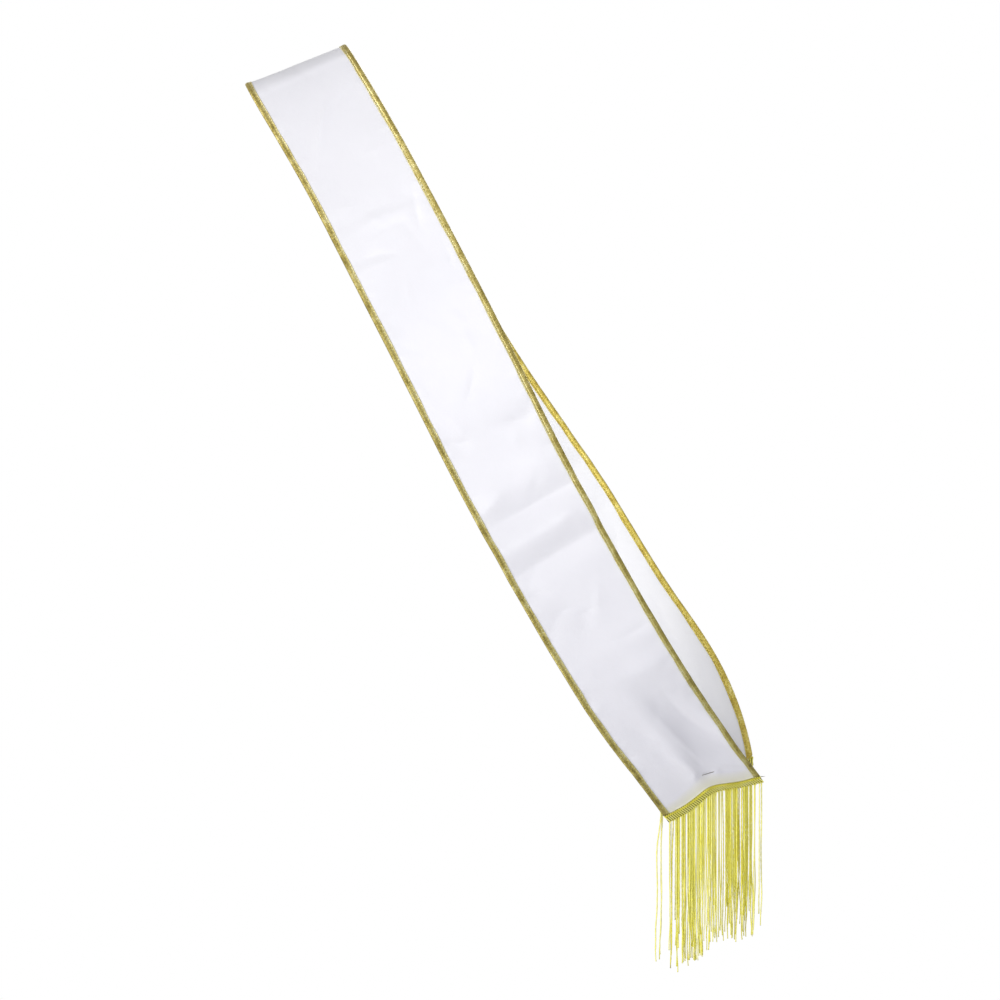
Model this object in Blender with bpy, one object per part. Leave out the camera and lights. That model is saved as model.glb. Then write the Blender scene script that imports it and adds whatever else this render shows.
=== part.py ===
"""A white satin sash with gold binding and fringed ends, in the form it keeps when it is worn.

It goes over the right shoulder, down across the chest to the left hip, and comes back up across the
back. The origin is on the shoulder, under the cloth. +X is the wearer's left, -Y the front, +Z up.
Places on the cloth are told by three lengths in millimetres: `along` the sash, 0 at the shoulder's
crest, plus down the front and minus down the back; `across` it, plus on the side of the neck; and
`out`, away from the wearer, 0 on the cloth's inner face.
"""

import bpy
import numpy as np

MM = 0.001

SASH_WIDTH = 95.0
CLOTH_WALL = 1.2
BINDING_WALL = 1.0
BINDING_SHOWS = 6.0
SEAM_GAP = 0.3
STRETCHES_PART_AT = -15.0
CLOTH_HALF = SASH_WIDTH / 2 - BINDING_WALL - SEAM_GAP

HEADER_HEIGHT = 8.0
HEADER_WALL = 2.4
STRANDS = 40
STRAND_WALL = 1.2
STRAND_SHARE = 0.52
FRONT_DROP = 134.0
BACK_DROP = 131.0
SHORTEST_LOSES = 0.24
SWAY = 0.9
STRAND_WAVES = (
    # height, step, start
    (0.62, 2.4, 0.0),
    (0.38, 5.1, 1.0),
)

ROWS = 73
ROWS_CROWD_TO_SHOULDER = 1.25
BINDING_REACH = SASH_WIDTH / 2 - BINDING_SHOWS
COLUMNS = np.array([-CLOTH_HALF, *np.linspace(-BINDING_REACH, BINDING_REACH, 7), CLOTH_HALF])
TORSO_MIDDLE = np.array([140.0, 0.0, -300.0])

# The line down the middle of the sash, from one fringe to the other: where it runs, and which way the
# cloth faces there. `turn` swings the line across the cloth back on its neck side, and `rise` tips it up.
ROUTE = (
    # station,        x,      y,      z,   turn, rise
    ("front tip",   382.5,   -7.0, -664.5,  27.0, 36.0),
    ("front end",   365.0,  -22.0, -641.0,  27.0, 36.0),
    ("thigh",       328.0,  -47.0, -590.0,  25.0, 35.0),
    ("hip",         302.5,  -65.0, -554.0,  18.0, 32.0),
    ("belly",       259.5,  -84.0, -484.5,  13.0, 30.0),
    ("waist",       221.0,  -96.0, -416.0,   9.0, 29.0),
    ("ribs",        184.5, -106.0, -348.0,   4.0, 28.0),
    ("under bust",  142.0, -116.0, -263.5,   0.0, 27.0),
    ("bust",         98.5, -111.0, -178.5,  -6.0, 27.0),
    ("chest",        62.0,  -88.0, -108.5, -10.0, 27.0),
    ("collarbone",   31.5,  -55.0,  -53.5,  -9.0, 25.0),
    ("shoulder",      0.0,    0.0,    0.0,   0.0, 21.5),
    ("upper back",   21.0,   50.0,  -35.0,   8.0, 25.0),
    ("blade",        63.0,   92.0, -110.0,   8.0, 28.0),
    ("mid back",    112.0,  104.0, -200.0,   0.0, 29.0),
    ("low back",    167.0,   92.0, -291.0, -10.0, 30.0),
    ("back waist",  232.5,   76.0, -386.5, -16.0, 31.0),
    ("seat",        299.5,   52.0, -494.0, -18.0, 31.0),
    ("hip side",    334.5,   28.0, -550.5,  -8.0, 30.0),
    ("hip fold",    352.0,   11.0, -597.5,   9.0, 30.0),
    ("back end",    359.0,   -9.0, -632.0,  27.0, 27.0),
    ("back tip",    364.5,  -17.5, -657.0,  31.0, 27.0),
)

# How far each cut end reaches past its station on the route, from one edge of the cloth to the other.
END_LINES = (
    # across, front, back
    (-1.0, -22.0, 10.0),
    (-0.6, -15.5, 6.0),
    (-0.25, -12.5, 2.0),
    (0.05, -10.0, -2.0),
    (0.35, -0.5, -6.0),
    (0.65, 11.0, -12.0),
    (1.0, 22.0, -21.0),
)

# The largest soft folds: a ridge stands out from the wearer and a trough sinks in. Each crosses the
# cloth on a slant, its middle at `along` and `across`.
FOLDS = (
    # fold,              along, across, slant, length, breadth, height
    ("shoulder roll",     28.0,   -2.0,   7.0,   70.0,    9.0,   1.4),
    ("waist valley",     475.0,    2.0,   0.0,   78.0,   12.0,  -2.4),
    ("waist ridge",      499.0,    1.0,   0.0,   80.0,   13.0,   2.6),
    ("waist trough",     522.0,    1.0,  -1.0,   80.0,   13.0,  -2.0),
    ("hip ridge",        618.0,   22.0,   4.0,   44.0,   14.0,   1.6),
    ("hip bend",         634.0,  -22.0,  42.0,   32.0,   13.0,   2.0),
    ("pull ridge",       728.0,   -4.0,  86.0,   52.0,   11.0,   2.4),
    ("pull valley",      724.0,   21.0,  74.0,   54.0,   12.0,  -2.8),
    ("blade ridge",     -150.0,   -6.0,  20.0,   70.0,   17.0,   2.4),
    ("back waist",      -445.0,    4.0, -14.0,   76.0,   16.0,  -2.8),
    ("seat ridge",      -520.0,   -8.0,  12.0,   66.0,   15.0,   2.4),
)


def column(rows, index):
    return np.array([row[index] for row in rows], float)


def smooth_curve(knots, values, at):
    """The natural cubic curve through the values at the knots, read at the places given."""
    step = np.diff(knots)
    slope = np.diff(values) / step
    system = np.eye(len(knots))
    bend = np.zeros(len(knots))
    for i in range(1, len(knots) - 1):
        system[i, i - 1:i + 2] = step[i - 1], 2 * (step[i - 1] + step[i]), step[i]
        bend[i] = 6 * (slope[i] - slope[i - 1])
    second = np.linalg.solve(system, bend)
    i = np.clip(np.searchsorted(knots, at) - 1, 0, len(step) - 1)
    left = at - knots[i]
    right = knots[i + 1] - at
    return (
        (second[i] * right**3 + second[i + 1] * left**3) / (6 * step[i])
        + (values[i] / step[i] - second[i] * step[i] / 6) * right
        + (values[i + 1] / step[i] - second[i + 1] * step[i] / 6) * left
    )


class Route:
    """The smooth middle line of the sash, with the directions along, across and out of the cloth."""

    def __init__(self, rows):
        points = np.stack([column(rows, k) for k in (1, 2, 3)], axis=1)
        chord = np.concatenate([[0], np.cumsum(np.linalg.norm(np.diff(points, axis=0), axis=1))])
        fine = np.linspace(0, chord[-1], 1600)
        line = np.stack([smooth_curve(chord, points[:, k], fine) for k in range(3)], axis=1)
        run = np.concatenate([[0], np.cumsum(np.linalg.norm(np.diff(line, axis=0), axis=1))])
        names = [row[0] for row in rows]
        stations = np.interp(chord, fine, run)
        crest = stations[names.index("shoulder")]
        self.along = crest - run
        self.station = dict(zip(names, crest - stations))
        self.line = line
        turn = np.radians(smooth_curve(chord, column(rows, 4), fine))
        rise = np.radians(smooth_curve(chord, column(rows, 5), fine))
        ahead = -np.gradient(line, run, axis=0)
        ahead /= np.linalg.norm(ahead, axis=1, keepdims=True)
        level = np.stack([np.cos(turn), np.sin(turn), np.zeros_like(turn)], axis=1)
        side = level * np.cos(rise)[:, None] + np.array([0, 0, 1]) * np.sin(rise)[:, None]
        side -= ahead * (side * ahead).sum(axis=1, keepdims=True)
        self.side = side / np.linalg.norm(side, axis=1, keepdims=True)
        self.ahead = ahead
        self.outward = np.cross(ahead, self.side)

    def read(self, table, along):
        order = slice(None, None, -1)
        return np.stack([np.interp(along, self.along[order], table[order, k]) for k in range(3)], axis=-1)


ROUTE_LINE = Route(ROUTE)
FRONT_END = ROUTE_LINE.station["front end"]
BACK_END = ROUTE_LINE.station["back end"]


def fold_height(along, across):
    """How far the folds lift the cloth at a place on it."""
    height = np.zeros(np.broadcast(along, across).shape)
    for _, middle, aside, slant, length, breadth, rise in FOLDS:
        turned = np.radians(slant)
        ahead = along - middle
        beside = across - aside
        down_fold = beside * np.cos(turned) + ahead * np.sin(turned)
        over_fold = ahead * np.cos(turned) - beside * np.sin(turned)
        height = height + rise * np.exp(-((down_fold / length) ** 2) - (over_fold / breadth) ** 2)
    return height


def place(along, across, out):
    """The points in space of places on the sash."""
    along, across, out = np.broadcast_arrays(along, across, out)
    lifted = out + fold_height(along, across)
    middle = ROUTE_LINE.read(ROUTE_LINE.line, along)
    side = ROUTE_LINE.read(ROUTE_LINE.side, along)
    outward = ROUTE_LINE.read(ROUTE_LINE.outward, along)
    return middle + side * across[..., None] + outward * lifted[..., None]


def end_reach(index, across):
    """How far an end line reaches past its station; it runs straight between the cloth's columns."""
    reach = smooth_curve(column(END_LINES, 0), column(END_LINES, index), COLUMNS / CLOTH_HALF)
    return np.interp(across, COLUMNS, reach)


def front_cut(across):
    """Where the front end is cut, for places across the cloth."""
    return FRONT_END + end_reach(1, across)


def back_cut(across):
    """Where the back end is cut, for places across the cloth."""
    return BACK_END - end_reach(2, across)


def material(name, color, roughness, metallic=0.0):
    made = bpy.data.materials.new(name)
    made.use_nodes = True
    shader = made.node_tree.nodes["Principled BSDF"]
    shader.inputs["Base Color"].default_value = (*color, 1)
    shader.inputs["Roughness"].default_value = roughness
    shader.inputs["Metallic"].default_value = metallic
    made.diffuse_color = (*color, 1)
    return made


def mesh_object(name, points, faces, finish):
    mesh = bpy.data.meshes.new(name)
    mesh.from_pydata([tuple(point * MM) for point in points], [], faces)
    mesh.materials.append(finish)
    mesh.shade_smooth()
    mesh.set_sharp_from_angle(angle=np.radians(40))
    made = bpy.data.objects.new(name, mesh)
    bpy.context.scene.collection.objects.link(made)
    return made


def halves(points, quad):
    """The two triangles of a four-sided face, split on the diagonal that runs nearer the wearer.

    A panel and the binding on it then fold on the same lines, and keep their gap.
    """
    first, second, third, fourth = quad
    one = np.linalg.norm((points[first] + points[third]) / 2 - TORSO_MIDDLE)
    other = np.linalg.norm((points[second] + points[fourth]) / 2 - TORSO_MIDDLE)
    if one < other:
        return [(first, second, third), (first, third, fourth)]
    return [(second, third, fourth), (second, fourth, first)]


def wall(inner, outer):
    """The points and faces of a closed wall between two grids of points, rows along and columns across.

    It leaves out the far rim, row -1, which the caller closes.
    """
    rows, columns = inner.shape[:2]
    points = np.concatenate([inner.reshape(-1, 3), outer.reshape(-1, 3)])
    skin = rows * columns

    def at(row, col, layer):
        return layer * skin + row * columns + col

    faces = []
    for row in range(rows - 1):
        for col in range(columns - 1):
            here, beside = at(row, col, 0), at(row, col + 1, 0)
            ahead, corner = at(row + 1, col, 0), at(row + 1, col + 1, 0)
            faces += halves(points, (here, beside, corner, ahead))
            faces += halves(points, (here + skin, ahead + skin, corner + skin, beside + skin))
        for col, turned in ((0, False), (columns - 1, True)):
            rim = (at(row, col, 0), at(row + 1, col, 0), at(row + 1, col, 1), at(row, col, 1))
            faces += halves(points, rim[::-1] if turned else rim)
    for col in range(columns - 1):
        faces.append((at(0, col, 0), at(0, col, 1), at(0, col + 1, 1), at(0, col + 1, 0)))
    return points, faces, at


def closed_wall(name, inner, outer, finish):
    points, faces, at = wall(inner, outer)
    last = inner.shape[0] - 1
    for col in range(inner.shape[1] - 1):
        faces.append((at(last, col, 0), at(last, col + 1, 0), at(last, col + 1, 1), at(last, col, 1)))
    return mesh_object(name, points, faces, finish)


def cloth_rows(across):
    """Places along the sash of its rows of points, up the back and then down the front."""
    share = np.linspace(0, 1, ROWS)[:, None] ** ROWS_CROWD_TO_SHOULDER
    front_top = STRETCHES_PART_AT
    back_top = front_top - SEAM_GAP
    back = back_top + share[::-1] * (back_cut(across) - back_top)
    front = front_top + share * (front_cut(across) - front_top)
    return back, front


def panel(name, along, finish):
    """One stretch of the satin strip, on its rows."""
    inner = place(along, COLUMNS, 0.0)
    outer = place(along, COLUMNS, CLOTH_WALL)
    return closed_wall(name, inner, outer, finish)


def binding(name, sign, finish):
    """The gold ribbon folded over one long edge, from end to end; sign is +1 on the side of the neck."""
    edge = CLOTH_HALF
    near = edge + SEAM_GAP
    far = near + BINDING_WALL
    reach = BINDING_REACH
    under = -SEAM_GAP
    over = CLOTH_WALL + SEAM_GAP
    middle = CLOTH_WALL / 2
    soften = 0.3
    lining = ((reach, under), (near, under), (near, middle), (near, over), (reach, over))
    face = (
        (reach, under - BINDING_WALL),
        (far - soften, under - BINDING_WALL + soften),
        (far, middle),
        (far - soften, over + BINDING_WALL - soften),
        (reach, over + BINDING_WALL),
    )

    def skin(path):
        across = sign * column(path, 0)
        back, front = cloth_rows(across)
        return place(np.concatenate([back[:-1], front]), across, column(path, 1))

    inner, outer = skin(lining), skin(face)
    if sign > 0:
        inner, outer = inner[:, ::-1], outer[:, ::-1]
    return closed_wall(name, inner, outer, finish)


def strand_rings(root, level, depth, drop, sway):
    """Rings of four points down a strand that hangs from its root, the tip last."""
    half = STRAND_WALL / 2
    corners = ((-half, -half), (half, -half), (half, half), (-half, half))
    rings = []
    for share in (0.05, 0.5, 1.0):
        centre = root + np.array([0, 0, -drop * share])
        centre = centre + (level * sway[0] + depth * sway[1]) * share**1.5
        rings.append([centre + level * a + depth * b for a, b in corners])
    return rings


def strand_form(number, place_across, drop):
    """A strand's length, and how far its tip sways along the row and out of it; each differs a little."""
    uneven = sum(height * np.sin(step * number + start) for height, step, start in STRAND_WAVES)
    length = drop * (1 - SHORTEST_LOSES * abs(uneven))
    sway = (SWAY * np.sin(7 * place_across) + uneven / 4, SWAY * np.cos(9 * place_across))
    return length, sway


def fringe(name, cut, away, drop, finish):
    """A looped header along a cut end, with the strands that hang from it; away is +1 at the front end."""
    edges = [-1.0]
    for i in range(STRANDS):
        middle = -1 + 2 * (i + 0.5) / STRANDS
        edges += [middle - STRAND_SHARE / STRANDS, middle + STRAND_SHARE / STRANDS]
    edges.append(1.0)
    across = np.array(edges) * SASH_WIDTH / 2
    top = cut(across) + away * SEAM_GAP
    along = np.stack([top, top + away * HEADER_HEIGHT])
    spare = (HEADER_WALL - CLOTH_WALL) / 2
    inner = place(along, across, -spare)
    outer = place(along, across, CLOTH_WALL + spare)
    points, faces, at = wall(inner, outer)
    points = list(points)
    for col in range(len(across) - 1):
        foot = (at(1, col, 0), at(1, col + 1, 0), at(1, col + 1, 1), at(1, col, 1))
        if col % 2 == 0:
            faces.append(foot)
            continue
        corners = [points[index] for index in foot]
        level = corners[1] - corners[0]
        level[2] = 0
        level /= np.linalg.norm(level)
        depth = away * np.array([level[1], -level[0], 0])
        length, sway = strand_form(col // 2, across[col] / SASH_WIDTH, drop)
        root = sum(corners) / 4
        for ring in strand_rings(root, level, depth, length, sway):
            first = len(points)
            points += ring
            below = tuple(range(first, first + 4))
            for k in range(4):
                n = (k + 1) % 4
                faces.append((foot[k], foot[n], below[n], below[k]))
            foot = below
        faces.append(foot)
    if away < 0:
        faces = [face[::-1] for face in faces]
    return mesh_object(name, points, faces, finish)


def clear_scene():
    for old in list(bpy.data.objects):
        bpy.data.objects.remove(old, do_unlink=True)


def main():
    clear_scene()
    satin = material("white satin", (0.86, 0.86, 0.90), 0.35)
    lame = material("gold ribbon", (0.42, 0.34, 0.05), 0.35, 0.6)
    yarn = material("yellow fringe", (0.74, 0.65, 0.06), 0.5)
    back_rows, front_rows = cloth_rows(COLUMNS)
    panel("front_stretch", front_rows, satin)
    panel("back_stretch", back_rows, satin)
    binding("binding_neck_side", 1, lame)
    binding("binding_arm_side", -1, lame)
    fringe("fringe_front", front_cut, 1, FRONT_DROP, yarn)
    fringe("fringe_back", back_cut, -1, BACK_DROP, yarn)


main()
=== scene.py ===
# %% [markdown]
# A worn sash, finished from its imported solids
# The real thing is a strip of white polyester satin, about 1.6 m long. Its long edges are bound with gold
# lame ribbon, and each end has a yellow fringe. It hangs from one shoulder to the opposite hip, where two
# straight pins hold the ends together. This lesson loads the solids as a fixed frame and dresses each of
# them with a finer piece: cloth with its creases, ribbon with its stitches, looped headers and yarns.

# %% Load the frame
import math

import bpy
import numpy as np
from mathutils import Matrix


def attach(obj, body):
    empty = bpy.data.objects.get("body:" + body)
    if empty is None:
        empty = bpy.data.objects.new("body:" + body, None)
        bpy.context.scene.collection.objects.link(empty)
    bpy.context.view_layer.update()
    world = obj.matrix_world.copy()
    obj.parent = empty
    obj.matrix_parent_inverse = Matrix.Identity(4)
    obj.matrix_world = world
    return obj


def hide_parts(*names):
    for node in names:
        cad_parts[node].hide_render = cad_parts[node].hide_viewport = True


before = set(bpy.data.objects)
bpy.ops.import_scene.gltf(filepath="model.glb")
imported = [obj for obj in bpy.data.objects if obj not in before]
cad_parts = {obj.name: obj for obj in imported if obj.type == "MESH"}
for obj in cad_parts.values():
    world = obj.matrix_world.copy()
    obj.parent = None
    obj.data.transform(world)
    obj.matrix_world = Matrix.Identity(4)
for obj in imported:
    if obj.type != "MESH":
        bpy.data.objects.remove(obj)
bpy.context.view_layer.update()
MM = 0.001
print("nodes:", ", ".join(sorted(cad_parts)))

# %% [markdown]
# The camera stands level with the waist, three metres in front, as a catalogue photographer would. From
# there one pixel of a 1000 pixel picture is 0.88 mm at the depth of the shoulder. The lens follows from
# that: a 36 mm sensor has to see 1000 x 0.88 mm at three metres.

# %% Camera
PICTURE_PX = 1000
PIXEL_MM = 0.88
CAMERA_AWAY = 3.0
SENSOR_MM = 36.0
CAMERA_X = 0.1797
CAMERA_Z = -0.3819

camera_data = bpy.data.cameras.new("camera")
camera_data.sensor_width = SENSOR_MM
camera_data.lens = SENSOR_MM * CAMERA_AWAY / (PICTURE_PX * PIXEL_MM * MM)
camera = bpy.data.objects.new("camera", camera_data)
camera.location = (CAMERA_X, -CAMERA_AWAY, CAMERA_Z)
camera.rotation_euler = (math.radians(90), 0, 0)
bpy.context.scene.collection.objects.link(camera)
bpy.context.scene.camera = camera
print("lens", round(camera_data.lens, 1), "mm")

# %% [markdown]
# White goods are photographed high key, against a white wall. The cloth itself must stay a little darker
# than the wall, or its folds are lost. So the surround here is white behind the sash and only a soft grey
# in front of it. The key light stands far off on the left at waist height, and a weaker fill on the right,
# higher up. A third, just under the camera, is there for the satin's gloss: cloth that faces the camera
# shines, and cloth that turns away by ten degrees doesn't, which is what makes its folds show. One more
# lights the back. The fill is a little blue, like daylight, so white cloth turned that way looks cool.
# All are suns with a wide angle, which is how a softbox looks from afar. The floor is a pale disc under
# the wearer's feet, below the picture. Standard view keeps white white.

# %% Studio
FLOOR_BELOW = 1.38
FLOOR_CENTRE = (0.18, 0.0)
FLOOR_RADIUS = 2.6
ROOM_GREY = 0.24
WALL_STARTS = 0.6
WALL_FULL = 0.95
DAYLIGHT = (0.87, 0.88, 1.0)


def soft_light(name, to_left, above, strength, width, colour=(1, 1, 1)):
    """A far, broad light; its angles in degrees tell how far to the left and how high it stands."""
    data = bpy.data.lights.new(name, "SUN")
    data.energy = strength
    data.color = colour
    data.angle = math.radians(width)
    light = bpy.data.objects.new(name, data)
    light.rotation_euler = (math.radians(90 - above), 0, math.radians(-to_left))
    bpy.context.scene.collection.objects.link(light)


soft_light("key light", 48, 0, 2.15, 24)
soft_light("fill light", -56, 25, 0.8, 40, DAYLIGHT)
soft_light("gloss light", -4, -6, 0.64, 28)
soft_light("back light", 205, 25, 0.9, 30)

world = bpy.data.worlds.new("white wall and grey room")
world.use_nodes = True
nodes = world.node_tree.nodes
looking = nodes.new("ShaderNodeTexCoord")
parts = nodes.new("ShaderNodeSeparateXYZ")
wall = nodes.new("ShaderNodeMapRange")
wall.inputs["From Min"].default_value = WALL_STARTS
wall.inputs["From Max"].default_value = WALL_FULL
wall.inputs["To Min"].default_value = ROOM_GREY
wall.inputs["To Max"].default_value = 1.0
world.node_tree.links.new(looking.outputs["Generated"], parts.inputs["Vector"])
world.node_tree.links.new(parts.outputs["Y"], wall.inputs["Value"])
world.node_tree.links.new(wall.outputs["Result"], nodes["Background"].inputs["Strength"])
nodes["Background"].inputs["Color"].default_value = (1, 1, 1, 1)
bpy.context.scene.world = world
bpy.context.scene.view_settings.view_transform = "Standard"

bpy.ops.mesh.primitive_circle_add(
    vertices=128, radius=FLOOR_RADIUS, fill_type="NGON", location=(*FLOOR_CENTRE, -FLOOR_BELOW)
)
floor = bpy.context.object
floor.name = "floor"
print("floor", FLOOR_BELOW, "m under the shoulder")

# %% [markdown]
# Every finish below is a small node tree. Colours are written as hex values, as a paint shop would, and one
# function turns them to the linear values that a renderer works in. One more function adds a node with its
# settings and links, so that each tree reads as a list of what it is made of. Pieces carry numbers on their
# points, such as how far a point is from the fold, and a tree can read those too.

# %% Colours and nodes


def linear(hex_colour):
    """The linear RGBA of an sRGB hex colour such as F2F1F6."""
    channels = [int(hex_colour[i:i + 2], 16) / 255 for i in (0, 2, 4)]
    return [c / 12.92 if c <= 0.04045 else ((c + 0.055) / 1.055) ** 2.4 for c in channels] + [1.0]


def add(tree, kind, links=(), **settings):
    """Adds a node. Settings name its properties or, with in_ before them, its inputs."""
    node = tree.nodes.new(kind)
    for key, value in settings.items():
        if key.startswith("in_"):
            node.inputs[key[3:].replace("_", " ")].default_value = value
        else:
            setattr(node, key, value)
    for socket, source in links:
        tree.links.new(source, node.inputs[socket])
    return node


def finish(name, **settings):
    """A new material and its Principled shader, with numbers set on the shader's own sockets."""
    made = bpy.data.materials.new(name)
    made.use_nodes = True
    shader = made.node_tree.nodes["Principled BSDF"]
    for key, value in settings.items():
        shader.inputs[key.replace("_", " ")].default_value = value
    return made, made.node_tree, shader


def ramp(tree, source, *stops):
    """A colour ramp read by a source; each stop is a place and a hex colour."""
    node = add(tree, "ShaderNodeValToRGB", [("Fac", source)])
    while len(node.color_ramp.elements) < len(stops):
        node.color_ramp.elements.new(0.5)
    for element, (at, colour) in zip(node.color_ramp.elements, stops):
        element.position = at
        element.color = linear(colour)
    return node.outputs["Color"]


def kept_value(tree, name):
    """The number that is kept under a name on each point of a piece."""
    return add(tree, "ShaderNodeAttribute", attribute_name=name).outputs["Fac"]


def mix_colours(tree, share, first, second, blend_type="MIX"):
    """Two colours mixed by a share; the second is a link or a hex colour."""
    node = add(
        tree, "ShaderNodeMix", [("Factor", share), ("A", first)], data_type="RGBA", blend_type=blend_type
    )
    if isinstance(second, str):
        node.inputs["B"].default_value = linear(second)
    else:
        tree.links.new(second, node.inputs["B"])
    return node.outputs["Result"]


floor_finish, _, _ = finish("painted floor", Base_Color=linear("ECECEE"), Roughness=0.8)
floor.data.materials.append(floor_finish)
print("floor finish:", floor_finish.name)

# %% [markdown]
# Polyester satin: filament yarns woven so that the warp floats over seven or eight weft threads. The floats
# lie side by side along the strip, so the face looks smooth, with fine streaks along it and a broad sheen
# across it. Polyester has an IOR near 1.57. The warp threads are 0.12 mm apart, too fine to show, and are
# drawn 0.5 mm apart. The reverse shows the weft, which is duller. It is also painted a little greyer, as
# painted shade for the shade that the wearer's body would throw on it. Light passes through such thin cloth,
# so a little of it scatters inside, and the tape of the fringe shows through each end as a faint yellow
# tint.

# %% Satin
WARP_DRAWN_MM = 0.5
FLOAT_DRAWN_MM = 7.0
CLOUD_MM = 45
FACE_ROUGH = 0.36
REVERSE_ROUGH = 0.6

satin, tree, shader = finish(
    "white polyester satin", Roughness=FACE_ROUGH, IOR=1.57,
    Subsurface_Weight=0.3, Subsurface_Scale=0.003, Subsurface_Radius=(1, 1, 1),
)
cloth_at = add(tree, "ShaderNodeAttribute", attribute_name="cloth_mm").outputs["Vector"]
streak_scale = add(
    tree, "ShaderNodeMapping", [("Vector", cloth_at)], in_Scale=(1 / WARP_DRAWN_MM, 1 / FLOAT_DRAWN_MM, 1)
)
streaks = add(
    tree, "ShaderNodeTexNoise", [("Vector", streak_scale.outputs["Vector"])], in_Scale=1.0, in_Detail=3.0
).outputs["Fac"]
clouds = add(tree, "ShaderNodeTexNoise", [("Vector", cloth_at)], in_Scale=1 / CLOUD_MM, in_Detail=2.0)
white = ramp(tree, clouds.outputs["Fac"], (0.3, "F1F0F5"), (0.7, "F3F2F7"))
fine_white = mix_colours(tree, streaks, white, "FBFBFD", "MULTIPLY")
tinted = mix_colours(tree, kept_value(tree, "tape_behind"), fine_white, "E3DFA6")
inside = kept_value(tree, "inside")
# The reverse's grey is partly the weft's duller face and partly painted shade, for the wearer's body.
tree.links.new(mix_colours(tree, inside, tinted, "E6E6EA"), shader.inputs["Base Color"])
dull = add(
    tree, "ShaderNodeMapRange", [("Value", inside)], in_To_Min=FACE_ROUGH, in_To_Max=REVERSE_ROUGH
)
tree.links.new(dull.outputs["Result"], shader.inputs["Roughness"])
weave = add(tree, "ShaderNodeBump", [("Height", streaks)], in_Strength=0.05, in_Distance=0.0002)
tree.links.new(weave.outputs["Normal"], shader.inputs["Normal"])
print("satin streaks", WARP_DRAWN_MM, "x", FLOAT_DRAWN_MM, "mm")

# %% [markdown]
# Lame ribbon: flat metallised film woven over a yellow core, then folded over the cloth's edge. The film
# lies across the ribbon as fine ribs, and each rib tilts its own way, so the eye gets a metal's colour in
# short broken glints. These glints are painted into the colour too, each rib a little lighter or darker, as
# painted highlights, and larger patches make it lighter and darker. The ribs are 0.4 mm apart on the real
# ribbon and drawn 0.8 mm apart, so that they don't blur away. It counts as a metal in part, so it keeps the
# default IOR. The inner third lies flat under its stitches and faces the light, so it is painted lighter, a
# painted highlight. The rest curls over the edge, away from the light, and is painted darker as painted
# shade. On the sash's inner side the core shows through the film more, which makes the gold warmer. The
# outer side is painted brighter and warmer on the shoulder, a painted highlight from the light above, and
# painted slowly darker and greener towards both ends, as painted shade.

# %% Gold lame ribbon
RIB_MM = 0.8
ONE_WAVE_A_UNIT = 0.32
GLINT_WIDE_MM = 2.5
PATCH_MM = 11.0
HIGHLIGHT_FROM_MM = 3.4
HIGHLIGHT_FULL_MM = 4.2
HIGHLIT_FLAT_TONES = ((0.34, "C6B260"), (0.45, "F3E298"), (0.55, "FBF0B4"), (0.66, "FFFBE2"))
SHADED_FOLD_TONES = ((0.34, "897838"), (0.45, "BDAA59"), (0.55, "DAC775"), (0.66, "FAEEAC"))
REVERSE_TONES = ((0.34, "A98F38"), (0.45, "D1B950"), (0.55, "E2D068"), (0.66, "F4E8A4"))
SHADE_TOWARDS_ENDS = "CDD1C5"

lame, tree, shader = finish("gold lame ribbon", Metallic=0.5, Roughness=0.36)
ribbon_at = add(tree, "ShaderNodeAttribute", attribute_name="cloth_mm").outputs["Vector"]
film_scale = add(
    tree, "ShaderNodeMapping", [("Vector", ribbon_at)], in_Scale=(1 / GLINT_WIDE_MM, 1 / RIB_MM, 0)
)
# Each rib gets its own brightness: painted glints.
film = add(
    tree, "ShaderNodeTexNoise", [("Vector", film_scale.outputs["Vector"])], in_Scale=1.0, in_Detail=2.0
).outputs["Fac"]
patches = add(
    tree, "ShaderNodeTexNoise", [("Vector", ribbon_at)], in_Scale=1 / PATCH_MM, in_Detail=4.0
).outputs["Fac"]
glints_and_patches = add(tree, "ShaderNodeMix", [("A", patches), ("B", film)], in_Factor=0.5).outputs["Result"]
# Painted highlight on the flat inner third, painted shade on the part that curls away from the light.
highlight_share = add(
    tree, "ShaderNodeMapRange", [("Value", kept_value(tree, "from_fold_mm"))],
    in_From_Min=HIGHLIGHT_FROM_MM, in_From_Max=HIGHLIGHT_FULL_MM,
).outputs["Result"]
gold = mix_colours(tree, highlight_share, ramp(tree, glints_and_patches, *SHADED_FOLD_TONES), ramp(tree, glints_and_patches, *HIGHLIT_FLAT_TONES))
# Painted highlight on the shoulder from the light above, fading to painted shade towards both ends.
outer_gold = mix_colours(tree, kept_value(tree, "from_shoulder"), gold, SHADE_TOWARDS_ENDS, "MULTIPLY")
inner_gold = ramp(tree, glints_and_patches, *REVERSE_TONES)
either_gold = mix_colours(tree, kept_value(tree, "inside"), outer_gold, inner_gold)
tree.links.new(either_gold, shader.inputs["Base Color"])
rib_scale = add(tree, "ShaderNodeMapping", [("Vector", ribbon_at)], in_Scale=(0, 1 / RIB_MM, 0))
ribs = add(
    tree, "ShaderNodeTexWave", [("Vector", rib_scale.outputs["Vector"])],
    bands_direction="Y", in_Scale=ONE_WAVE_A_UNIT,
)
rough_ribs = add(tree, "ShaderNodeMath", [(0, ribs.outputs["Fac"]), (1, film)], operation="ADD")
grain = add(
    tree, "ShaderNodeBump", [("Height", rough_ribs.outputs["Value"])], in_Strength=0.6, in_Distance=0.00025
)
tree.links.new(grain.outputs["Normal"], shader.inputs["Normal"])
print("lame ribs", RIB_MM, "mm apart, glints", GLINT_WIDE_MM, "mm wide")

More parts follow.
